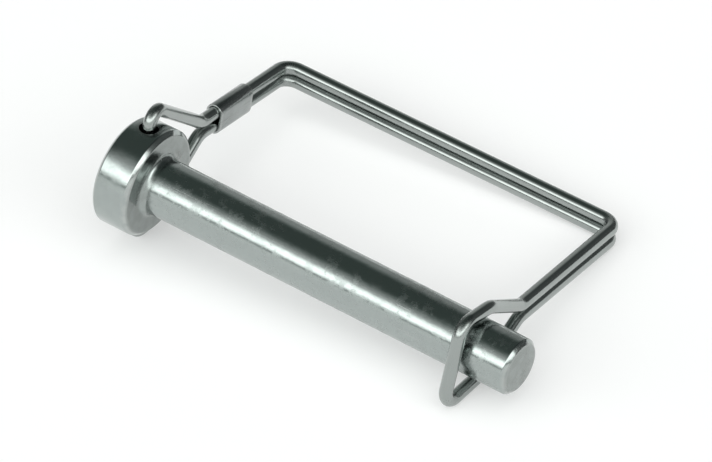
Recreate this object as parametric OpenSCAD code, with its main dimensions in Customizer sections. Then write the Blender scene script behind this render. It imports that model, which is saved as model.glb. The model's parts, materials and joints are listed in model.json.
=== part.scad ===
// Square wire lock pin, in millimetres: a headed steel pin, a bail of springy round wire in
// two strands that swings on a cross-hole in the head, and a sleeve crimped over the strands.
// The wire is one closed loop. Shut, its eye goes round the shank just short of the tip.
//
// Origin: centre of the face of the head that bears on the work, on the shank's axis.
// The shank points along +X and the bail reaches along +Y. The whole thing is drawn as it
// lies on a table, on three low points of the wire, which turns it a few degrees.

/* [Pin] */
// Diameter of the shank
shank_d = 9.5; // [6:0.1:13]
// Length of the shank, from the head's bearing face to the tip
shank_l = 69.5; // [66:0.5:110]
// Bevel round the tip
tip_bevel = 0.7; // [0.2:0.1:2]
// Diameter of the head
head_d = 18.2; // [16:0.1:22]
// Thickness of the head
head_t = 6.6; // [5.5:0.1:9]
// Bevel round the back of the head
back_bevel = 0.6; // [0.2:0.1:1.2]
// Bevel round the bearing face
face_bevel = 0.7; // [0.2:0.1:1.2]
// Radius of the fillet where the shank meets the head
neck_fillet = 1.2; // [0.4:0.1:2]

/* [Wire] */
// Diameter of the wire
wire_d = 2.2; // [1.6:0.1:2.6]
// Gap between the two strands where they run side by side
strand_gap = 0.13; // [0.05:0.01:0.5]
// How much wider the head's cross-hole is than the wire
hole_play = 1; // [0.4:0.1:1.4]

/* [Bail] */
// Distance from the bearing face to the eye, along the shank
grip = 61.3; // [50:0.1:64]
// How far the leg at the head stands behind the bearing face
leg_back = 4.75; // [2:0.05:7]
// Length of the leg at the head, from the shank's axis to the far bar
head_leg = 41.9; // [38:0.1:60]
// Length of the leg at the tip, from the shank's axis to the far bar
tip_leg = 43.1; // [38:0.1:60]
// Lean of the leg at the tip, in degrees
leg_lean = 3.5; // [0:0.1:6]
// Bend radius of the two square corners, at the middle of the wire
corner_r = 2.6; // [2:0.1:6]

/* [Head loop] */
// Distance from the shank's axis to where the strands part for the head
head_fork = 17.9; // [16:0.1:19]
// Room between the loop and the head as the bail swings
loop_room = 0.12; // [0.05:0.01:0.4]
// Gap between the head and the wire tucked under it
tuck_gap = 0.8; // [0.2:0.1:1.2]
// Bend radius where the wire leaves the cross-hole
loop_r = 1.9; // [1.6:0.1:2.2]
// Bend radius where the wire turns up from under the head
tuck_r = 3; // [2:0.1:4]
// Bend radius where the strands part or meet
fork_r = 4; // [2:0.1:8]

/* [Eye] */
// Distance from the shank's axis to where the strands part for the eye
eye_fork = 12.8; // [11.5:0.1:16]
// Room between the shank and the bends of the wire over and under it
eye_room = 1.05; // [0.3:0.05:1.3]
// How far the eye's upper corner stands out past the bends
eye_top_reach = 2.2; // [2:0.05:4]
// How far the eye's lower corner stands out past the bends
eye_low_reach = 4.3; // [4:0.05:6.5]
// Bend radius over and under the shank
eye_side_r = 5; // [3:0.1:8]
// Bend radius of the eye's two corners
eye_corner_r = 2.8; // [2:0.1:3.2]

/* [Ferrule] */
// Length of the ferrule
ferrule_l = 8.7; // [5:0.1:12]
// Thickness of the ferrule's sheet
ferrule_wall = 0.4; // [0.3:0.05:0.6]
// Distance from the fork to the ferrule's near end
ferrule_gap = 3.7; // [3.2:0.1:6]
// Clearance between the ferrule and the strands
crimp_fit = 0.02; // [0.01:0.01:0.05]

/* [Hidden] */
$fn = 48;

shank_r = shank_d / 2;
head_r = head_d / 2;
hole_d = wire_d + hole_play;
pivot_x = -head_t / 2;
strand_z = (wire_d + strand_gap) / 2;

// A bend is a hair fatter than the straights that run a short way into it.
bend_swell = 0.02;
straight_lap = 0.2;

// Small vector tools.
function unit(v) = v / norm(v);
function bend_opening(a, b, c) = acos(unit(a - b) * unit(c - b));
function bend_middle(a, b, c, r) = b + unit(unit(a - b) + unit(c - b)) * r / sin(bend_opening(a, b, c) / 2);
function bend_start(a, b, c, r) = b + unit(a - b) * r / tan(bend_opening(a, b, c) / 2);

// Head loop. The upper run is a straight line that just clears the space the head sweeps as
// the bail swings, so its height over the cross-hole follows from a tangent to that circle.
swept_r = norm([head_r, pivot_x]) + wire_d / 2 + loop_room;
loop_slope = asin(swept_r / norm([head_fork, strand_z])) - atan2(strand_z, head_fork);
loop_top = strand_z + head_fork * tan(loop_slope);
loop_low = head_r + tuck_gap + wire_d / 2;
tuck_y = (loop_top - loop_low) / tan(loop_slope);

// Eye. Its bends are placed by distance and angle round the shank, from straight up.
eye_r = shank_r + wire_d / 2 + eye_room;
eye_low_bend_angle = 161;
eye_up_bend_angle = 14;
eye_top_corner_angle = -41;
eye_low_corner_angle = -136;
function round_shank(r, angle) = [grip, r * sin(angle), r * cos(angle)];
function tip_leg_x(y) = grip - y * tan(leg_lean);

// The closed loop of wire: what each bend is, its point and its radius, from the top of the
// cross-hole along the upper strand, round the eye and back along the lower strand.
WIRE = [
    ["hole top", [pivot_x, 0, loop_top], loop_r],
    ["upper loop fork", [-leg_back, head_fork, strand_z], fork_r],
    ["upper head corner", [-leg_back, head_leg, strand_z], corner_r],
    ["upper tip corner", [tip_leg_x(tip_leg), tip_leg, strand_z], corner_r],
    ["upper eye fork", [tip_leg_x(eye_fork), eye_fork, strand_z], fork_r],
    ["over the shank", round_shank(eye_r, eye_up_bend_angle), eye_side_r],
    ["eye top", round_shank(eye_r + eye_top_reach, eye_top_corner_angle), eye_corner_r],
    ["eye low", round_shank(eye_r + eye_low_reach, eye_low_corner_angle), eye_corner_r],
    ["under the shank", round_shank(eye_r, eye_low_bend_angle), eye_side_r],
    ["lower eye fork", [tip_leg_x(eye_fork), eye_fork, -strand_z], fork_r],
    ["lower tip corner", [tip_leg_x(tip_leg), tip_leg, -strand_z], corner_r],
    ["lower head corner", [-leg_back, head_leg, -strand_z], corner_r],
    ["lower loop fork", [-leg_back, head_fork, -strand_z], fork_r],
    ["tuck", [pivot_x, tuck_y, -loop_low], tuck_r],
    ["hole bottom", [pivot_x, 0, -loop_low], loop_r]
];
function wire_point(i) = WIRE[(i + len(WIRE)) % len(WIRE)][1];
function wire_bend_r(i) = WIRE[i % len(WIRE)][2];
function wire_middle(i) = bend_middle(wire_point(i - 1), wire_point(i), wire_point(i + 1), wire_bend_r(i));
function wire_bend_start(i) = bend_start(wire_point(i - 1), wire_point(i), wire_point(i + 1), wire_bend_r(i));
function wire_bend_end(i) = bend_start(wire_point(i + 1), wire_point(i), wire_point(i - 1), wire_bend_r(i));

// How it lies. The plane through the lowest point of three bends is level. The first
// guess takes the bends' corner points, and one more round takes the bends themselves.
REST_BENDS = search(["tuck", "eye low", "lower tip corner"], WIRE);
function level(p) = unit(cross(p[1] - p[0], p[2] - p[0]));
function wire_plane(i) = unit(cross(wire_point(i - 1) - wire_point(i), wire_point(i + 1) - wire_point(i)));
function in_plane(v, across) = v - (v * across) * across;
function lowest_of_bend(i, up) = wire_middle(i) - wire_bend_r(i) * unit(in_plane(up, wire_plane(i)));
first_up = level([for (i = REST_BENDS) wire_point(i)]);
up = level([for (i = REST_BENDS) lowest_of_bend(i, first_up)]);
ahead = unit([1, 0, 0] - up.x * up);
aside = cross(up, ahead);

// Turns a thing modelled square to the shank into the way it lies.
module as_it_lies() {
    multmatrix([concat(ahead, 0), concat(aside, 0), concat(up, 0), [0, 0, 0, 1]])
        children();
}

// Puts a child's X and Y axes along the given unit vectors, with its origin at a point.
module aligned(at, x_to, y_to) {
    z_to = cross(x_to, y_to);
    multmatrix([for (i = [0:2]) [x_to[i], y_to[i], z_to[i], at[i]]])
        children();
}

// One straight stretch of wire, a little longer than from a to b.
module straight(a, b) {
    along = unit(b - a);
    side = unit(cross(along, abs(along.z) < 0.5 ? [0, 0, 1] : [0, 1, 0]));
    aligned(a - along * straight_lap, side, cross(along, side))
        cylinder(d = wire_d, h = norm(b - a) + 2 * straight_lap);
}

// One bend of the wire, from where it starts to turn to where it is straight again.
module bend(i) {
    middle = wire_middle(i);
    start = wire_bend_start(i);
    turn = 180 - bend_opening(wire_point(i - 1), wire_point(i), wire_point(i + 1));
    aligned(middle, unit(start - middle), unit(wire_point(i) - start))
        rotate_extrude(angle = turn)
            translate([wire_bend_r(i), 0])
                circle(d = wire_d + bend_swell, $fn = 24);
}

// Half the pin's section, to be turned about Y, which becomes the shank's axis.
module pin_section() {
    polygon([
        [0, -head_t],
        [head_r - back_bevel, -head_t],
        [head_r, back_bevel - head_t],
        [head_r, -face_bevel],
        [head_r - face_bevel, 0],
        [shank_r, 0],
        [shank_r, shank_l - tip_bevel],
        [shank_r - tip_bevel, shank_l],
        [0, shank_l]
    ]);
    difference() {
        translate([shank_r / 2, -head_t / 2])
            square([shank_r / 2 + neck_fillet, head_t / 2 + neck_fillet]);
        translate([shank_r + neck_fillet, neck_fillet])
            circle(r = neck_fillet);
    }
}

// Shank and head, turned from one bar, with the hole that the bail swings on.
module pin() {
    color([0.62, 0.66, 0.65])
        as_it_lies()
            difference() {
                rotate([0, 90, 0])
                    rotate_extrude($fn = 96)
                        pin_section();
                translate([pivot_x, 0, 0])
                    cylinder(d = hole_d, h = head_d * 2, center = true);
            }
}

// The bail: straights and bends of one wire.
module wire_bail() {
    color([0.7, 0.73, 0.73])
        as_it_lies()
            for (i = [0:len(WIRE) - 1]) {
                bend(i);
                straight(wire_bend_end(i), wire_bend_start((i + 1) % len(WIRE)));
            }
}

// An oval round both strands, a given distance outside them.
module oval(grow) {
    d = wire_d + 2 * grow;
    square([d, 2 * strand_z], center = true);
    for (side = [-1, 1])
        translate([0, side * strand_z])
            circle(d = d);
}

// The crimped sleeve that holds the strands together and hides where the wire's ends meet.
module ferrule() {
    color([0.58, 0.61, 0.61])
        as_it_lies()
            translate([-leg_back, head_fork + ferrule_gap, 0])
                rotate([-90, 0, 0])
                    linear_extrude(ferrule_l)
                        difference() {
                            oval(crimp_fit + ferrule_wall);
                            oval(crimp_fit);
                        }
}

pin();
wire_bail();
ferrule();
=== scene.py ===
"""Looks of a square wire lock pin: a turned steel pin, its doubled wire bail and its ferrule.

Every piece is modelled square to the shank, with +X from the head's bearing face towards the
tip and +Y towards the bail's far bar, and is then laid down the way the packed part lies.
"""

import json
import math

import bpy
import numpy as np
from bpy.props import FloatProperty, FloatVectorProperty, PointerProperty
from mathutils import Matrix, Vector


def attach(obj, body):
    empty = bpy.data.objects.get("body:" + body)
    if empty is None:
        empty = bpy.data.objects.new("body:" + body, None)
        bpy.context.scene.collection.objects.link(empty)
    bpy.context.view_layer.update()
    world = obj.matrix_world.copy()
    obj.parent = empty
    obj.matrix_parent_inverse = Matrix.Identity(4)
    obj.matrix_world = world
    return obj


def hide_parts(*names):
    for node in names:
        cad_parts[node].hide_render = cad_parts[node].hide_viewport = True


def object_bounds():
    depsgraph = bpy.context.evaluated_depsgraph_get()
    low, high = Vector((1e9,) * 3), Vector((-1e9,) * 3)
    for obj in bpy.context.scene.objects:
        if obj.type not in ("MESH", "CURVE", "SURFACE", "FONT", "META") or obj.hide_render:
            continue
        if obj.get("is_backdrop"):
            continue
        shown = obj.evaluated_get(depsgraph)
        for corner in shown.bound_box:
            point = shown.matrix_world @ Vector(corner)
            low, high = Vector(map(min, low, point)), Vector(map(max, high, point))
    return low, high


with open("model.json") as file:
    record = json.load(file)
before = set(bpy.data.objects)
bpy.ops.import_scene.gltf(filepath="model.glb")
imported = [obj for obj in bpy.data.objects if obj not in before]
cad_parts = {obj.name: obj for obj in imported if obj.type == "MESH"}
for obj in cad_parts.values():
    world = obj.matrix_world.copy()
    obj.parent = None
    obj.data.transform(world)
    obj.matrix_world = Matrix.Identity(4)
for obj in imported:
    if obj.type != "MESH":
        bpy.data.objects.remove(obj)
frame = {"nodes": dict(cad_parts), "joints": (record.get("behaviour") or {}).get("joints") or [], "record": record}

bl_info = {
    "name": "Wire lock pin",
    "version": (1, 0, 0),
    "blender": (4, 5, 0),
    "location": "3D View > Sidebar > Lock Pin",
    "description": "Models and finishes a steel lock pin with a bail of doubled spring wire",
    "category": "Object",
}

MM = 0.001

# Two places closer than this are the same place, in metres.
SAME_PLACE = 1e-6
# A bevelled or spun point may stray this far from where it was worked out, in metres.
ROUNDING = 1e-5

# Sides of the round things, and steps round their bends.
PIN_SIDES = 224
HOLE_SIDES = 96
WIRE_SIDES = 32
SLEEVE_SIDES = 72
FILLET_STEPS = 10
EDGE_STEPS = 3
STEPS_PER_HALF_TURN = 56
FEWEST_STEPS = 4

# Edges that turn by more than this many degrees are rounded.
PIN_EDGE_TURN = 25
LIP_EDGE_TURN = 60

# Place in wire_corners of the first bend after the wire's hidden end.
FIRST_BEND = 12

# Brightness of the room, by its height above the horizon in degrees.
REAR_TONES = (
    (-90, 0.4), (-3, 0.4), (3, 0.34), (22, 0.34), (32, 0.26), (40, 0.11), (48, 0.06), (90, 0.06)
)
WINDOW_TONES = (
    (-90, 0.5), (-3, 0.72), (8, 0.66), (10, 0.22), (13, 0.24), (16, 0.9), (23, 1.85), (34, 1.8),
    (40, 1.1), (45, 0.58), (52, 0.36), (62, 0.21), (70, 0.08), (90, 0.06)
)
# The room's colours are shares of this brightness, so that none passes 1.
BRIGHTEST = 2.5
DARK_WALL = (0.01, 0.012, 0.012, 1)
DARK_SHARE = 0.85

# Directions out from the pin.
TO_WINDOW = (0.5, -0.866, 0)
TO_DARK_CORNER = (0.5, 0.866, 0)
TO_DARK_END = (-1, 0, 0)
TO_LAMP = (0.05, -0.15, 1.0)


# ---------------------------------------------------------------- the frame's own directions


def mount_axis(name):
    """The axis of one of the record's mounts."""
    mounts = {m["name"]: m for m in frame["record"]["mounts"]}
    return Vector(mounts[name]["axis"]).normalized()


def joint_axis(name):
    """The axis of one of the record's joints."""
    joints = {j["name"]: j for j in frame["joints"]}
    return Vector(joints[name]["axis"]).normalized()


TO_TIP = mount_axis("shank")
OVER_STRANDS = joint_axis("bail_swing")
TO_BAR = OVER_STRANDS.cross(TO_TIP)
AS_IT_LIES = Matrix((TO_TIP, TO_BAR, OVER_STRANDS)).transposed().to_4x4()


def reach(node, direction):
    """The lowest and highest place of a CAD node along a direction, in metres."""
    mesh = frame["nodes"][node].data
    places = np.empty(len(mesh.vertices) * 3, np.float32)
    mesh.vertices.foreach_get("co", places)
    along = places.reshape(-1, 3) @ np.array(direction, np.float32)
    return float(along.min()), float(along.max())


PIN_BACK, PIN_TIP = reach("pin", TO_TIP)
HEAD_D = 2 * reach("pin", TO_BAR)[1]


# ---------------------------------------------------------------------- sizes and finishes


def length(name, description, default):
    """A size in metres that the sidebar shows and a user can change."""
    return FloatProperty(
        name=name, description=description, default=default, min=0.0, precision=5, unit="LENGTH"
    )


def turn(name, description, degrees):
    """An angle that the sidebar shows and a user can change."""
    return FloatProperty(
        name=name, description=description, default=math.radians(degrees), subtype="ANGLE"
    )


def colour(name, description, default):
    """A colour that the sidebar shows and a user can change."""
    return FloatVectorProperty(
        name=name, description=description, default=default, min=0.0, max=1.0, subtype="COLOR"
    )


def share(name, description, default):
    """A plain number from 0 to 1."""
    return FloatProperty(
        name=name, description=description, default=default, min=0.0, max=1.0, subtype="FACTOR"
    )


def strength(name, description, default):
    """How bright a light is."""
    return FloatProperty(name=name, description=description, default=default, min=0.0)


class PinSizes(bpy.types.PropertyGroup):
    """Sizes of the turned pin."""

    shank_d: length("Shank diameter", "Diameter of the shank", 9.5 * MM)
    shank_l: length("Shank length", "From the bearing face to the tip", PIN_TIP)
    head_d: length("Head diameter", "Diameter of the round head", HEAD_D)
    head_t: length("Head thickness", "From the back of the head to the bearing face", -PIN_BACK)
    tip_bevel: length("Tip bevel", "Bevel round the tip", 0.7 * MM)
    face_bevel: length("Face bevel", "Bevel round the bearing face", 0.7 * MM)
    back_bevel: length("Back bevel", "Bevel round the back of the head", 0.6 * MM)
    neck_fillet: length("Neck fillet", "Radius where the shank meets the head", 1.2 * MM)
    edge_round: length("Edge round", "How far the bevels' own edges are rubbed round", 0.13 * MM)
    hole_d: length("Cross-hole", "Diameter of the hole that the bail swings in", 3.2 * MM)


class BailSizes(bpy.types.PropertyGroup):
    """Sizes of the bail's wire, at the middle of the wire unless they say otherwise."""

    wire_d: length("Wire diameter", "Diameter of the wire", 2.2 * MM)
    strand_gap: length("Strand gap", "Gap between the two strands side by side", 0.13 * MM)
    end_gap: length("End gap", "Gap between the wire's two ends, inside the ferrule", 0.3 * MM)
    grip: length("Grip", "From the bearing face to the eye", 61.3 * MM)
    leg_back: length("Leg setback", "How far the leg at the head stands behind the face", 4.75 * MM)
    head_leg: length("Leg at the head", "From the shank's axis to the far bar", 41.9 * MM)
    tip_leg: length("Leg at the tip", "From the shank's axis to the far bar", 43.1 * MM)
    leg_lean: turn("Leg lean", "Lean of the leg at the tip", 3.5)
    corner_r: length("Corner radius", "Bend radius of the two square corners", 2.6 * MM)
    head_fork: length("Head fork", "From the shank's axis to where the strands part", 17.9 * MM)
    loop_room: length("Loop room", "Room between the loop and the swept head", 0.12 * MM)
    tuck_gap: length("Tuck gap", "Gap between the head and the wire under it", 0.8 * MM)
    loop_r: length("Loop radius", "Bend radius where the wire leaves the hole", 1.9 * MM)
    tuck_r: length("Tuck radius", "Bend radius where the wire turns up again", 3 * MM)
    fork_r: length("Fork radius", "Bend radius where the strands part or meet", 4 * MM)
    eye_fork: length("Eye fork", "From the shank's axis to where the strands part", 12.8 * MM)
    eye_room: length("Eye room", "Room between the shank and the eye's bends", 1.05 * MM)
    eye_top_reach: length("Eye's top reach", "How far its top corner stands out", 2.2 * MM)
    eye_low_reach: length("Eye's low reach", "How far its low corner stands out", 4.3 * MM)
    eye_side_r: length("Eye side radius", "Bend radius over and under the shank", 5 * MM)
    eye_corner_r: length("Eye corner radius", "Bend radius of the eye's corners", 2.8 * MM)
    over_turn: turn("Over the shank", "Place of the bend over the shank", 14)
    top_turn: turn("Eye's top", "Place of the eye's top corner", -41)
    low_turn: turn("Eye's low corner", "Place of the eye's low corner", -136)
    under_turn: turn("Under the shank", "Place of the bend under the shank", 161)


class FerruleSizes(bpy.types.PropertyGroup):
    """Sizes of the ferrule."""

    length: length("Length", "Length of the sleeve", 8.7 * MM)
    gap: length("Distance", "From the fork to the sleeve's near end", 3.7 * MM)
    wall: length("Wall", "Thickness of the sheet", 0.4 * MM)
    fit: length("Fit", "Clearance round the strands", 0.02 * MM)
    lip_round: length("Lip round", "How far the ends of the sleeve are rounded", 0.12 * MM)


class Finishes(bpy.types.PropertyGroup):
    """Colours and roughness of the zinc."""

    pin: colour("Pin", "Zinc on the turned steel", (0.38, 0.415, 0.405))
    wire: colour("Wire", "Zinc on the drawn wire", (0.35, 0.375, 0.365))
    ferrule: colour("Ferrule", "Zinc on the pressed sheet", (0.32, 0.34, 0.335))
    # This darker zinc is painted shade on the pin (neck, hole mouth, under the eye, square-cut faces) and real
    # stain on the wire's crazed bends and the ferrule's press smears.
    shade_and_stain: colour("Stain", "Dulled zinc in the corners", (0.19, 0.20, 0.19))
    bare: colour("Rubbed", "Zinc rubbed bright on the edges", (0.505, 0.52, 0.51))
    pin_rough: share("Pin roughness", "Roughness of clean turned zinc", 0.17)
    wire_rough: share("Wire roughness", "Roughness of clean drawn zinc", 0.14)
    ferrule_rough: share("Ferrule roughness", "Roughness of clean pressed zinc", 0.2)


class StudioSettings(bpy.types.PropertyGroup):
    """The camera, the floor, the soft light and the room."""

    azimuth: turn("Azimuth", "Camera's turn round the pin from straight along +Y", 35.4)
    elevation: turn("Elevation", "Camera's angle above the floor", 38.3)
    distance: length("Distance", "From the camera to the pin", 1.8)
    view_width: length("View width", "Width of what the camera sees at the pin", 0.112)
    floor_size: length("Floor size", "Side of the square floor", 1.5)
    floor_tone: share("Floor tone", "Brightness of the floor's own colour", 0.66)
    floor_lift: share("Floor lift", "How much paler the floor is to the camera and metal", 0.35)
    light: strength("Light", "Strength of the soft light from above", 1.31)
    light_width: turn("Light width", "How much of the sky the soft light fills", 75)
    room: strength("Room", "Strength of the light from the room", 1.58)


# ------------------------------------------------------------------------ modelling by hand


def deselect_all():
    """Leaves nothing selected."""
    bpy.ops.object.select_all(action="DESELECT")


def select_only(thing):
    """Leaves one object selected and active."""
    deselect_all()
    thing.select_set(True)
    bpy.context.view_layer.objects.active = thing


def edit(thing):
    """Opens one object in edit mode with nothing in it selected."""
    select_only(thing)
    bpy.ops.object.mode_set(mode="EDIT")
    bpy.ops.mesh.select_all(action="DESELECT")


def pick(thing, kind, test):
    """Selects the open object's vertices, edges or faces whose corners all pass a test."""
    bpy.ops.mesh.select_all(action="DESELECT")
    bpy.ops.object.mode_set(mode="OBJECT")
    mesh = thing.data
    passed = [test(v.co) for v in mesh.vertices]
    for element in getattr(mesh, kind):
        corners = [element.index] if kind == "vertices" else element.vertices
        element.select = all(passed[i] for i in corners)
    if kind != "vertices":
        for v in mesh.vertices:
            v.select = False
        for element in getattr(mesh, kind):
            for i in element.vertices if element.select else ():
                mesh.vertices[i].select = True
    bpy.ops.object.mode_set(mode="EDIT")


def select_mode(kind):
    """Chooses what edit mode selects: VERT, EDGE or FACE."""
    bpy.ops.mesh.select_mode(type=kind)


def leave_edit():
    """Back to object mode."""
    bpy.ops.object.mode_set(mode="OBJECT")


def apply_modifier(thing, kind, **settings):
    """Adds one modifier to an object and applies it."""
    select_only(thing)
    made = thing.modifiers.new(kind.lower(), kind)
    for name, value in settings.items():
        setattr(made, name, value)
    bpy.ops.object.modifier_apply(modifier=made.name)


def apply_place(thing):
    """Moves an object's place, turn and scale into its mesh."""
    select_only(thing)
    bpy.ops.object.transform_apply(location=True, rotation=True, scale=True)


def finish_piece(thing, name, node, body, material, smooth_to):
    """Lays a finished piece down as the part lies, and gives it its body and its material.
    Edges that turn by less than smooth_to degrees are shaded smooth."""
    thing.name = name
    thing.data.name = name
    thing.matrix_world = AS_IT_LIES
    apply_place(thing)
    bpy.ops.object.shade_smooth_by_angle(angle=math.radians(smooth_to))
    thing.data.materials.clear()
    thing.data.materials.append(material)
    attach(thing, body)
    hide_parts(node)


# --------------------------------------------------------------------------- shader language


class Value:
    """A number that a shader works out. Arithmetic on it adds Math nodes."""

    def __init__(self, shader, socket):
        self.shader = shader
        self.socket = socket

    def math(self, operation, *numbers):
        """One Math node on these numbers."""
        sockets = dict(enumerate(numbers))
        return self.shader.node("ShaderNodeMath", {"operation": operation}, sockets)

    def __add__(self, other):
        return self.math("ADD", self, other)

    def __radd__(self, other):
        return self.math("ADD", other, self)

    def __sub__(self, other):
        return self.math("SUBTRACT", self, other)

    def __rsub__(self, other):
        return self.math("SUBTRACT", other, self)

    def __mul__(self, other):
        return self.math("MULTIPLY", self, other)

    def __rmul__(self, other):
        return self.math("MULTIPLY", other, self)

    def __truediv__(self, other):
        return self.math("DIVIDE", self, other)

    def __pow__(self, other):
        return self.math("POWER", self, other)

    def __abs__(self):
        return self.math("ABSOLUTE", self)


class Shader:
    """The nodes of one material or of the world."""

    def __init__(self, owner):
        owner.use_nodes = True
        self.owner = owner
        self.tree = owner.node_tree
        self.tree.nodes.clear()

    def plug(self, socket, given):
        """Links a value to a socket, or sets the socket to a plain number or colour."""
        if isinstance(given, Value):
            self.tree.links.new(given.socket, socket)
        else:
            socket.default_value = given

    def node(self, kind, settings=None, sockets=None, output=0):
        """Adds one node, its settings first and then its sockets, and returns one output."""
        made = self.tree.nodes.new(kind)
        for name, value in (settings or {}).items():
            if name == "stops":
                self.stops(made.color_ramp, value)
            else:
                setattr(made, name, value)
        for key, given in (sockets or {}).items():
            self.plug(made.inputs[key], given)
        return Value(self, made.outputs[output]) if made.outputs else made

    def stops(self, ramp, stops):
        """Gives a colour ramp its stops, each a place and a colour."""
        while len(ramp.elements) < len(stops):
            ramp.elements.new(0.5)
        for element, (place, tone) in zip(ramp.elements, stops):
            element.position = place
            element.color = rgba(tone)

    def dot(self, vector, direction):
        """How far a vector reaches along a fixed direction."""
        settings = {"operation": "DOT_PRODUCT"}
        return self.node("ShaderNodeVectorMath", settings, {0: vector, 1: direction}, "Value")

    def vector(self, x, y, z):
        """A vector from three numbers."""
        return self.node("ShaderNodeCombineXYZ", None, {0: x, 1: y, 2: z})

    def noise(self, vector, scale, detail=2.0, roughness=0.5):
        """Smooth noise from 0 to 1 with about `scale` features in a metre."""
        sockets = {"Vector": vector, "Scale": scale, "Detail": detail, "Roughness": roughness}
        return self.node("ShaderNodeTexNoise", None, sockets, 0)

    def rise(self, value, low, high):
        """0 below low and 1 above high, with a soft step between. High may be the lower one."""
        settings = {"interpolation_type": "SMOOTHSTEP"}
        sockets = {"Value": value, "From Min": low, "From Max": high}
        return self.node("ShaderNodeMapRange", settings, sockets)

    def blend(self, mask, a, b):
        """Colour a where the mask is 0 and colour b where it is 1."""
        sockets = {0: mask, 6: a, 7: b}
        return self.node("ShaderNodeMix", {"data_type": "RGBA"}, sockets, 2)

    def bump(self, height, depth):
        """A normal from a height, and the metres that a height of 1 stands for."""
        sockets = {"Strength": 1.0, "Distance": depth, "Height": height}
        return self.node("ShaderNodeBump", None, sockets)


def rgba(three, tone=1.0):
    """A colour with its alpha, made paler or darker by a factor."""
    return (*(part * tone for part in three), 1.0)


def new_material(name):
    """An empty material and its shader."""
    return Shader(bpy.data.materials.new(name))


def metal(shader, base, rough, normal):
    """Closes a material as one bare metal surface."""
    sockets = {"Base Color": base, "Metallic": 1.0, "Roughness": rough, "Normal": normal}
    surface = shader.node("ShaderNodeBsdfPrincipled", None, sockets)
    shader.node("ShaderNodeOutputMaterial", None, {"Surface": surface})
    return shader.owner


def pin_space(shader):
    """A point's distance along the shank, out from it towards the bar, and above the strands."""
    place = shader.node("ShaderNodeTexCoord", None, None, "Object")
    return place, [shader.dot(place, tuple(d)) for d in (TO_TIP, TO_BAR, OVER_STRANDS)]


def near(shader, x, r, at_x, at_r, soft):
    """1 on a ring round the shank at a distance and radius, fading out over a soft width."""
    gap = ((x - at_x) ** 2 + (r - at_r) ** 2) ** 0.5
    return shader.rise(gap, soft, 0.0)


def turned_zinc(sizes, bail, looks):
    """Zinc on turned steel: frosted patches, tool rings, rubbed rims and scuffs along the shank;
    rougher, with painted shade, at the neck, the hole, under the eye and on the square-cut faces."""
    s = new_material("turned_zinc")
    place, (x, y, z) = pin_space(s)
    r = (y * y + z * z) ** 0.5
    clouds = s.noise(place, 170.0, 3.0)
    mottle = s.noise(place, 480.0, 4.0, 0.5)
    grain = s.noise(place, 6500.0, 2.0, 0.6)
    rings = s.noise(s.vector((x + r) * 3200.0, y * 60.0, z * 60.0), 1.0, 3.0)
    draws = s.noise(s.vector(x * 45.0, y * 2600.0, z * 2600.0), 1.0, 2.0)
    scuffs = s.noise(s.vector(x * 130.0, y * 5200.0, z * 5200.0), 1.0, 1.0)
    on_shank = s.rise(x, 1.5 * MM, 3.0 * MM)
    scuffed = s.rise(scuffs, 0.66, 0.74) * on_shank * s.rise(clouds, 0.42, 0.6)
    frost = s.noise(place, 620.0, 5.0, 0.68)
    frosted = s.rise(frost, 0.45, 0.6) * (0.3 + 0.7 * s.rise(clouds, 0.38, 0.56))
    frosted = frosted * (0.5 + 0.5 * on_shank)

    head_r = sizes.head_d / 2
    shank_r = sizes.shank_d / 2
    rub = 0.9 * MM
    rims = near(s, x, r, -sizes.face_bevel / 2, head_r - sizes.face_bevel / 2, rub)
    rims = rims + near(s, x, r, -sizes.head_t, head_r - sizes.back_bevel / 2, rub)
    rims = rims + near(s, x, r, sizes.shank_l, shank_r - sizes.tip_bevel / 2, rub)
    rubbed = rims * s.rise(mottle, 0.36, 0.58)
    # Painted shade: the neck's corner, the hole's mouth and the ring under the eye's wire are darkened towards the
    # darker zinc, and made rougher.
    neck = near(s, x, r, 0.0, shank_r, 2.2 * MM) * s.rise(clouds, 0.3, 0.7)
    off_axis = ((x - PIN_BACK / 2) ** 2 + y * y) ** 0.5
    mouth = s.rise(off_axis, sizes.hole_d * 0.75, sizes.hole_d * 0.5) * s.rise(x, 0.0, -MM)
    ring = s.rise(abs(x - bail.grip), 1.7 * MM, 0.4 * MM) * s.rise(mottle, 0.4, 0.6)
    shade_and_dulling = neck * 0.5 + mouth * 0.55 + ring * 0.22
    # Painted shade: the end face, the back of the head and the bearing face are darkened to stand in for the
    # shadowed floor they mirror, and made a little rougher.
    shaded_faces = s.rise(x, sizes.shank_l - 0.3 * MM, sizes.shank_l - 0.1 * MM)
    shaded_faces = shaded_faces + s.rise(x, 0.3 * MM - sizes.head_t, 0.1 * MM - sizes.head_t)
    shaded_faces = shaded_faces + s.rise(abs(x), 0.3 * MM, 0.1 * MM) * s.rise(r, shank_r, shank_r + MM)
    shaded_faces = shaded_faces * (0.7 + 0.3 * s.rise(mottle, 0.4, 0.6))

    base = s.blend(clouds * 0.3 + frost * 0.6, rgba(looks.pin, 1.08), rgba(looks.pin, 0.84))
    # Painted shade: the colour goes towards the darker zinc at the neck, the hole, under the eye and on the
    # square-cut faces.
    base = s.blend(shade_and_dulling + shaded_faces * (1.0 - shade_and_dulling) * 0.5, base, rgba(looks.shade_and_stain))
    base = s.blend(rubbed * 0.55 + scuffed * 0.25, base, rgba(looks.bare))
    rough = (looks.pin_rough - 0.05) + frosted * 0.19 + grain * 0.04
    rough = rough + shade_and_dulling * 0.25 + shaded_faces * 0.03 + scuffed * 0.12 - rubbed * 0.05
    height = mottle * 0.034 + frost * 0.008 + grain * 0.002 + rings * 0.004 - scuffed * 0.003
    height = height + draws * on_shank * 0.006
    return metal(s, base, rough, s.bump(height, MM))


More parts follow.
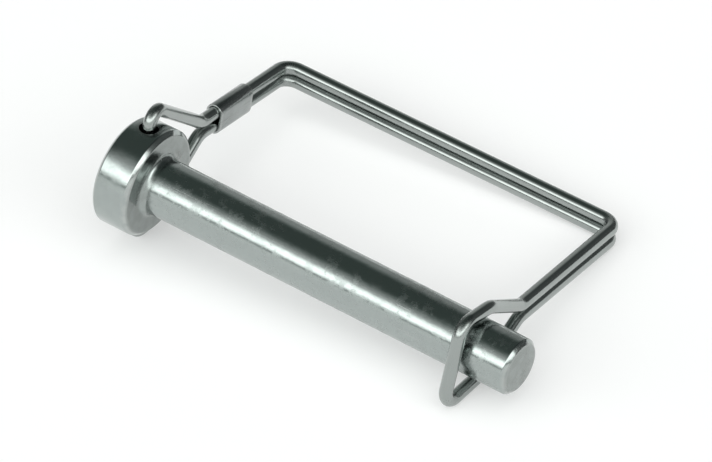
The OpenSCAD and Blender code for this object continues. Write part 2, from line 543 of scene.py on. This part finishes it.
def drawn_zinc(looks):
    """Zinc on drawn wire: die lines along the wire, crazed and duller where it was bent."""
    s = new_material("drawn_zinc")
    place = s.node("ShaderNodeTexCoord", None, None, "Object")
    wire = s.node("ShaderNodeAttribute", {"attribute_name": "wire_space"}, None, "Vector")
    bent = s.node("ShaderNodeAttribute", {"attribute_name": "bent"}, None, "Fac")
    along = s.dot(wire, (1.0, 0.0, 0.0))
    out = s.dot(wire, (0.0, 1.0, 0.0))
    side = s.dot(wire, (0.0, 0.0, 1.0))
    clouds = s.noise(place, 260.0, 3.0)
    grain = s.noise(place, 7000.0, 2.0, 0.6)
    lines = s.noise(s.vector(along * 110.0, out * 7600.0, side * 7600.0), 1.0, 2.0)
    crazing = s.noise(s.vector(along * 9000.0, out * 2600.0, side * 2600.0), 1.0, 2.0)
    crazed = bent * s.rise(crazing, 0.46, 0.62)
    drawn = s.rise(lines, 0.6, 0.74) * s.rise(clouds, 0.35, 0.6)

    base = s.blend(clouds * 0.5 + grain * 0.15, rgba(looks.wire, 1.05), rgba(looks.wire, 0.84))
    base = s.blend(crazed * 0.35, base, rgba(looks.shade_and_stain))
    base = s.blend(drawn * 0.3, base, rgba(looks.bare))
    rough = (looks.wire_rough - 0.05) + clouds * 0.08 + grain * 0.06 + bent * 0.06 + crazed * 0.12
    height = lines * 0.005 + clouds * 0.03 + grain * 0.003 - crazed * 0.004
    return metal(s, base, rough, s.bump(height, MM))


def pressed_zinc(bail, sizes, looks):
    """Zinc on pressed sheet: rubbed lips and dull smears from the press."""
    s = new_material("pressed_zinc")
    place, (x, y, z) = pin_space(s)
    clouds = s.noise(place, 420.0, 3.0)
    grain = s.noise(place, 7500.0, 2.0, 0.6)
    smears = s.noise(s.vector(x * 2600.0, y * 260.0, z * 2600.0), 1.0, 3.0)
    middle = bail.head_fork + sizes.gap + sizes.length / 2
    to_end = sizes.length / 2 - abs(y - middle)
    lips = s.rise(to_end, 0.7 * MM, 0.1 * MM) * s.rise(clouds, 0.3, 0.55)
    pressed = s.rise(smears, 0.56, 0.7)

    base = s.blend(clouds * 0.6, rgba(looks.ferrule, 1.06), rgba(looks.ferrule, 0.82))
    base = s.blend(pressed * 0.22, base, rgba(looks.shade_and_stain))
    base = s.blend(lips * 0.5, base, rgba(looks.bare))
    rough = (looks.ferrule_rough - 0.05) + clouds * 0.1 + grain * 0.06 + pressed * 0.08
    height = smears * 0.012 + grain * 0.004 + clouds * 0.05
    return metal(s, base, rough, s.bump(height, MM))


# ------------------------------------------------------------------------- the wire's path


class Bend:
    """One bend of the wire: where it starts, its middle, where it ends and how far it turns."""

    def __init__(self, before, corner, after, radius):
        arrive = (corner - before).normalized()
        leave = (after - corner).normalized()
        self.turn = arrive.angle(leave)
        self.radius = radius
        cut = radius * math.tan(self.turn / 2)
        self.start = corner - arrive * cut
        self.end = corner + leave * cut
        self.axis = arrive.cross(leave).normalized()
        self.middle = self.start + self.axis.cross(arrive) * radius
        self.arrive = arrive


def wire_corners(pin, bail):
    """The corner and radius of each bend, from the top of the cross-hole along the upper
    strand, round the eye and back along the lower strand."""
    lift = (bail.wire_d + bail.strand_gap) / 2
    pivot_x = -pin.head_t / 2
    swept_r = math.hypot(pin.head_d / 2, pivot_x) + bail.wire_d / 2 + bail.loop_room
    slope = math.asin(swept_r / math.hypot(bail.head_fork, lift))
    slope = slope - math.atan2(lift, bail.head_fork)
    loop_top = lift + bail.head_fork * math.tan(slope)
    loop_low = pin.head_d / 2 + bail.tuck_gap + bail.wire_d / 2
    tuck_y = (loop_top - loop_low) / math.tan(slope)
    eye_r = (pin.shank_d + bail.wire_d) / 2 + bail.eye_room

    def round_shank(r, angle):
        return Vector((bail.grip, r * math.sin(angle), r * math.cos(angle)))

    def on_tip_leg(y, z):
        return Vector((bail.grip - y * math.tan(bail.leg_lean), y, z))

    def on_head_leg(y, z):
        return Vector((-bail.leg_back, y, z))

    return [
        (Vector((pivot_x, 0, loop_top)), bail.loop_r),
        (on_head_leg(bail.head_fork, lift), bail.fork_r),
        (on_head_leg(bail.head_leg, lift), bail.corner_r),
        (on_tip_leg(bail.tip_leg, lift), bail.corner_r),
        (on_tip_leg(bail.eye_fork, lift), bail.fork_r),
        (round_shank(eye_r, bail.over_turn), bail.eye_side_r),
        (round_shank(eye_r + bail.eye_top_reach, bail.top_turn), bail.eye_corner_r),
        (round_shank(eye_r + bail.eye_low_reach, bail.low_turn), bail.eye_corner_r),
        (round_shank(eye_r, bail.under_turn), bail.eye_side_r),
        (on_tip_leg(bail.eye_fork, -lift), bail.fork_r),
        (on_tip_leg(bail.tip_leg, -lift), bail.corner_r),
        (on_head_leg(bail.head_leg, -lift), bail.corner_r),
        (on_head_leg(bail.head_fork, -lift), bail.fork_r),
        (Vector((pivot_x, tuck_y, -loop_low)), bail.tuck_r),
        (Vector((pivot_x, 0, -loop_low)), bail.loop_r),
    ]


def wire_bends(pin, bail):
    """All bends in order from the wire's hidden end, inside the ferrule, round to the other."""
    corners = wire_corners(pin, bail)
    count = len(corners)
    bends = []
    for step in range(count):
        i = (FIRST_BEND + step) % count
        before, here, after = (corners[(i + k) % count][0] for k in (-1, 0, 1))
        bends.append(Bend(before, here, after, corners[i][1]))
    return bends


# -------------------------------------------------------------------------------- operators


class LOCKPIN_OT_pin(bpy.types.Operator):
    """Turns the pin: head, shank, bevels, neck fillet and the cross-hole."""

    bl_idname = "lockpin.pin"
    bl_label = "Pin"

    def execute(self, context):
        sizes = context.scene.lockpin_pin
        head_r = sizes.head_d / 2
        shank_r = sizes.shank_d / 2
        deselect_all()
        bpy.ops.mesh.primitive_cylinder_add(
            vertices=PIN_SIDES,
            radius=head_r,
            depth=sizes.head_t,
            location=(-sizes.head_t / 2, 0, 0),
            rotation=(0, math.radians(90), 0),
        )
        pin = context.object
        apply_place(pin)

        edit(pin)
        select_mode("FACE")
        pick(pin, "polygons", lambda p: abs(p.x) < SAME_PLACE)
        bpy.ops.mesh.inset(thickness=head_r - shank_r, depth=0)
        bpy.ops.mesh.extrude_region_move(
            TRANSFORM_OT_translate={"value": (sizes.shank_l, 0, 0)}
        )
        select_mode("EDGE")
        # Where each edge is along the pin, its radius, how much is cut and in how many steps.
        rims = (
            (0.0, shank_r, sizes.neck_fillet, FILLET_STEPS),
            (0.0, head_r, sizes.face_bevel, 1),
            (-sizes.head_t, head_r, sizes.back_bevel, 1),
            (sizes.shank_l, shank_r, sizes.tip_bevel, 1),
        )
        for x, r, cut, segments in rims:
            pick(
                pin,
                "edges",
                lambda p: abs(p.x - x) < SAME_PLACE and abs(p.yz.length - r) < ROUNDING,
            )
            bpy.ops.mesh.bevel(offset=cut, segments=segments, affect="EDGES")
        leave_edit()
        apply_modifier(
            pin,
            "BEVEL",
            width=sizes.edge_round,
            segments=EDGE_STEPS,
            limit_method="ANGLE",
            angle_limit=math.radians(PIN_EDGE_TURN),
        )

        bpy.ops.mesh.primitive_cylinder_add(
            vertices=HOLE_SIDES,
            radius=sizes.hole_d / 2,
            depth=sizes.head_d * 2,
            location=(-sizes.head_t / 2, 0, 0),
        )
        drill = context.object
        apply_place(drill)
        undrilled = len(pin.data.polygons)
        apply_modifier(pin, "BOOLEAN", operation="DIFFERENCE", solver="EXACT", object=drill)
        bpy.data.objects.remove(drill)
        if len(pin.data.polygons) <= undrilled:
            raise RuntimeError("the cross-hole wasn't cut")
        looks = turned_zinc(sizes, context.scene.lockpin_bail, context.scene.lockpin_finish)
        finish_piece(pin, "turned_pin", "pin", "pin", looks, smooth_to=28)
        return {"FINISHED"}


class LOCKPIN_OT_bail(bpy.types.Operator):
    """Bends the bail: one wire drawn out along its straights and spun round its bends."""

    bl_idname = "lockpin.bail"
    bl_label = "Bail"

    def execute(self, context):
        bail = context.scene.lockpin_bail
        ferrule = context.scene.lockpin_ferrule
        bends = wire_bends(context.scene.lockpin_pin, bail)
        seam = bail.head_fork + ferrule.gap + ferrule.length / 2
        level = -(bail.wire_d + bail.strand_gap) / 2
        start = Vector((-bail.leg_back, seam - bail.end_gap / 2, level))
        end = Vector((-bail.leg_back, seam + bail.end_gap / 2, level))
        wire = self.first_ring(context, start, bends[0].arrive, bail.wire_d / 2)
        rings = self.draw_out(wire, start, end, bends)
        self.mark(wire, rings)
        looks = drawn_zinc(context.scene.lockpin_finish)
        finish_piece(wire, "bail_wire", "wire_bail", "bail", looks, smooth_to=50)
        return {"FINISHED"}

    def first_ring(self, context, place, direction, radius):
        """The ring that the wire is drawn from, with each point's place round the wire."""
        deselect_all()
        face = Vector((0, 0, 1)).rotation_difference(direction).to_euler()
        bpy.ops.mesh.primitive_circle_add(
            vertices=WIRE_SIDES, radius=radius, location=place, rotation=face
        )
        wire = context.object
        round_wire = [v.co.copy() for v in wire.data.vertices]
        apply_place(wire)
        space = wire.data.attributes.new("wire_space", "FLOAT_VECTOR", "POINT")
        for stored, co in zip(space.data, round_wire):
            stored.vector = (0, co.x, co.y)
        wire.data.attributes.new("bent", "FLOAT", "POINT")
        return wire

    def draw_out(self, wire, start, end, bends):
        """Draws the wire out, and returns each ring's middle, distance along and bend."""
        edit(wire)
        select_mode("EDGE")
        bpy.ops.mesh.select_all(action="SELECT")
        rings = [(start, 0.0, 0.0)]
        here, along = start, 0.0
        for bend in bends:
            self.straight(bend.start - here)
            along += (bend.start - here).length
            rings.append((bend.start, along, 0.0))
            steps = max(FEWEST_STEPS, round(STEPS_PER_HALF_TURN * bend.turn / math.pi))
            bpy.ops.mesh.spin(steps=steps, angle=-bend.turn, center=bend.middle, axis=bend.axis)
            for k in range(1, steps + 1):
                share_done = k / steps
                arm = Matrix.Rotation(bend.turn * share_done, 3, bend.axis)
                middle = bend.middle + arm @ (bend.start - bend.middle)
                distance = along + bend.radius * bend.turn * share_done
                bent = math.sin(math.pi * share_done) * min(1.0, bend.turn)
                rings.append((middle, distance, bent))
            along += bend.radius * bend.turn
            here = bend.end
        self.straight(end - here)
        rings.append((end, along + (end - here).length, 0.0))
        bpy.ops.mesh.select_all(action="SELECT")
        bpy.ops.mesh.fill_holes(sides=WIRE_SIDES)
        bpy.ops.mesh.normals_make_consistent(inside=False)
        leave_edit()
        return rings

    def straight(self, step):
        """Draws the selected ring out straight."""
        bpy.ops.mesh.extrude_region_move(TRANSFORM_OT_translate={"value": step})

    def mark(self, wire, rings):
        """Writes each point's distance along the wire and how much it was bent there."""
        mesh = wire.data
        places = np.empty(len(mesh.vertices) * 3)
        mesh.vertices.foreach_get("co", places)
        places = places.reshape(-1, WIRE_SIDES, 3)
        if len(places) != len(rings):
            raise RuntimeError(f"the wire has {len(places)} rings and not {len(rings)}")
        strayed = np.abs(places.mean(axis=1) - np.array([r[0] for r in rings])).max()
        if strayed > ROUNDING:
            raise RuntimeError(f"a ring of the wire strayed by {strayed} m")
        space = mesh.attributes["wire_space"].data
        bent = mesh.attributes["bent"].data
        for i in range(len(mesh.vertices)):
            ring = rings[i // WIRE_SIDES]
            space[i].vector.x = ring[1]
            bent[i].value = ring[2]


class LOCKPIN_OT_ferrule(bpy.types.Operator):
    """Presses the ferrule: an oval sleeve of sheet round both strands."""

    bl_idname = "lockpin.ferrule"
    bl_label = "Ferrule"

    def execute(self, context):
        sizes = context.scene.lockpin_ferrule
        bail = context.scene.lockpin_bail
        outside = bail.wire_d / 2 + sizes.fit + sizes.wall
        middle = bail.head_fork + sizes.gap + sizes.length / 2
        half_a_side = math.pi / SLEEVE_SIDES
        deselect_all()
        bpy.ops.mesh.primitive_cylinder_add(
            vertices=SLEEVE_SIDES,
            radius=outside,
            depth=sizes.length,
            end_fill_type="NOTHING",
            location=(-bail.leg_back, middle, 0),
            rotation=(math.radians(90), half_a_side, 0),
        )
        sleeve = context.object
        apply_place(sleeve)
        edit(sleeve)
        select_mode("VERT")
        spread = (bail.wire_d + bail.strand_gap) / 2
        for side in (-1, 1):
            pick(sleeve, "vertices", lambda p: p.z * side > 0)
            bpy.ops.transform.translate(value=(0, 0, side * spread))
        leave_edit()
        apply_modifier(sleeve, "SOLIDIFY", thickness=sizes.wall, offset=-1.0, use_even_offset=True)
        apply_modifier(
            sleeve,
            "BEVEL",
            width=sizes.lip_round,
            segments=EDGE_STEPS,
            limit_method="ANGLE",
            angle_limit=math.radians(LIP_EDGE_TURN),
        )
        looks = pressed_zinc(bail, sizes, context.scene.lockpin_finish)
        finish_piece(
            sleeve, "strand_ferrule", "ferrule", "bail", looks, smooth_to=40
        )
        return {"FINISHED"}


class LOCKPIN_OT_studio(bpy.types.Operator):
    """Sets up the pale floor, the soft light, the room and the camera."""

    bl_idname = "lockpin.studio"
    bl_label = "Studio"

    def execute(self, context):
        studio = context.scene.lockpin_studio
        context.scene.view_settings.view_transform = "Standard"
        self.floor(context, studio)
        self.lamp(context, studio)
        self.room(context, studio)
        self.camera(context, studio)
        return {"FINISHED"}

    def floor(self, context, studio):
        """A plain floor that keeps the shadow, and is as pale to metal as to the camera."""
        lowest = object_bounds()[0]
        deselect_all()
        bpy.ops.mesh.primitive_plane_add(size=studio.floor_size, location=(0, 0, lowest.z))
        floor = context.object
        floor.name = "floor"
        s = new_material("pale_floor")
        camera, glossy, through = (
            s.node("ShaderNodeLightPath", None, None, ray)
            for ray in ("Is Camera Ray", "Is Glossy Ray", "Is Transmission Ray")
        )
        rays = camera + glossy + through
        seen = rays.math("MINIMUM", rays, 1.0)
        pale = rgba([studio.floor_tone] * 3)
        matt = s.node("ShaderNodeBsdfDiffuse", None, {"Color": pale})
        glow = s.node("ShaderNodeEmission", None, {"Strength": studio.floor_lift})
        lifted = s.node("ShaderNodeAddShader", None, {0: matt, 1: glow})
        top = s.node("ShaderNodeMixShader", None, {0: seen, 1: matt, 2: lifted})
        s.node("ShaderNodeOutputMaterial", None, {"Surface": top})
        floor.data.materials.append(s.owner)
        floor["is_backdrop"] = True

    def lamp(self, context, studio):
        """A broad soft light from above that metal doesn't mirror."""
        bpy.ops.object.light_add(type="SUN")
        lamp = context.object
        lamp.rotation_euler = Vector(TO_LAMP).to_track_quat("Z", "Y").to_euler()
        lamp.name = "soft_light"
        lamp.data.energy = studio.light
        lamp.data.angle = studio.light_width
        lamp.visible_glossy = False

    def room(self, context, studio):
        """The room that metal mirrors: a bright front window, a dark ceiling, a dark corner
        behind the tip and a dark end past the head."""
        world = context.scene.world or bpy.data.worlds.new("room")
        context.scene.world = world
        s = Shader(world)
        direction = s.node("ShaderNodeTexCoord", None, None, "Generated")
        height = s.dot(direction, (0, 0, 1))
        level = (1.0 - height * height) ** 0.5
        place = height * 0.5 + 0.5
        rear = s.node("ShaderNodeValToRGB", {"stops": self.column(REAR_TONES)}, {0: place})
        ahead = s.node("ShaderNodeValToRGB", {"stops": self.column(WINDOW_TONES)}, {0: place})
        # The window and the dark places fade in between two cosines of the angle from them.
        front = s.dot(direction, TO_WINDOW) / level
        bright = s.blend(s.rise(front, -0.2, 0.55), rear, ahead)
        corner = s.dot(direction, TO_DARK_CORNER) / level
        bright = s.blend(s.rise(corner, 0.55, 0.8) * DARK_SHARE, bright, DARK_WALL)
        end = s.dot(direction, TO_DARK_END)
        bright = s.blend(s.rise(end, 0.75, 0.9) * DARK_SHARE, bright, DARK_WALL)
        sockets = {"Color": bright, "Strength": BRIGHTEST * studio.room}
        back = s.node("ShaderNodeBackground", None, sockets)
        s.node("ShaderNodeOutputWorld", None, {"Surface": back})

    def column(self, tones):
        """Ramp stops from a height in degrees and a brightness, greener where it is dark."""
        stops = []
        for height, tone in tones:
            pale = min(1.0, tone / 0.3)
            tint = (0.74 + 0.23 * pale, 1.0, 0.9 + 0.08 * pale)
            place = 0.5 + 0.5 * math.sin(math.radians(height))
            stops.append((place, tuple(part * tone / BRIGHTEST for part in tint)))
        return stops

    def camera(self, context, studio):
        """A long lens that looks down at the middle of the part."""
        a, e = studio.azimuth, studio.elevation
        back = Vector((math.sin(a) * math.cos(e), -math.cos(a) * math.cos(e), math.sin(e)))
        right = Vector((math.cos(a), math.sin(a), 0.0))
        aim = Vector((0.0, 0.0, 0.0))
        for direction in (right, back.cross(right), back):
            ends = [reach(node, direction) for node in frame["nodes"]]
            aim += direction * (min(low for low, _ in ends) + max(high for _, high in ends)) / 2
        bpy.ops.object.camera_add(location=aim + back * studio.distance)
        camera = context.object
        camera.name = "camera"
        camera.rotation_mode = "QUATERNION"
        camera.rotation_quaternion = back.to_track_quat("Z", "Y")
        camera.data.lens = camera.data.sensor_width * studio.distance / studio.view_width
        camera.data.clip_start = 10 * MM
        context.scene.camera = camera


class LOCKPIN_PT_panel(bpy.types.Panel):
    """The sizes, the finishes and a button for each piece."""

    bl_idname = "LOCKPIN_PT_panel"
    bl_label = "Lock Pin"
    bl_space_type = "VIEW_3D"
    bl_region_type = "UI"
    bl_category = "Lock Pin"

    def draw(self, context):
        for name, group in GROUPS.items():
            box = self.layout.box()
            box.label(text=group.__doc__)
            for size in group.__annotations__:
                box.prop(getattr(context.scene, name), size)
        for operator in OPERATORS:
            self.layout.operator(operator.bl_idname)


GROUPS = {
    "lockpin_pin": PinSizes,
    "lockpin_bail": BailSizes,
    "lockpin_ferrule": FerruleSizes,
    "lockpin_finish": Finishes,
    "lockpin_studio": StudioSettings,
}
OPERATORS = (LOCKPIN_OT_pin, LOCKPIN_OT_bail, LOCKPIN_OT_ferrule, LOCKPIN_OT_studio)


def register():
    """Registers the classes and hangs their sizes on the scene."""
    for group in (*GROUPS.values(), *OPERATORS, LOCKPIN_PT_panel):
        bpy.utils.register_class(group)
    for name, group in GROUPS.items():
        setattr(bpy.types.Scene, name, PointerProperty(type=group))


def unregister():
    """Undoes register."""
    for name in GROUPS:
        delattr(bpy.types.Scene, name)
    for group in reversed((*GROUPS.values(), *OPERATORS, LOCKPIN_PT_panel)):
        bpy.utils.unregister_class(group)


def main():
    """Makes every piece and the studio."""
    register()
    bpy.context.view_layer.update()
    bpy.ops.lockpin.pin()
    bpy.ops.lockpin.bail()
    bpy.ops.lockpin.ferrule()
    bpy.ops.lockpin.studio()


if __name__ == "__main__":
    main()
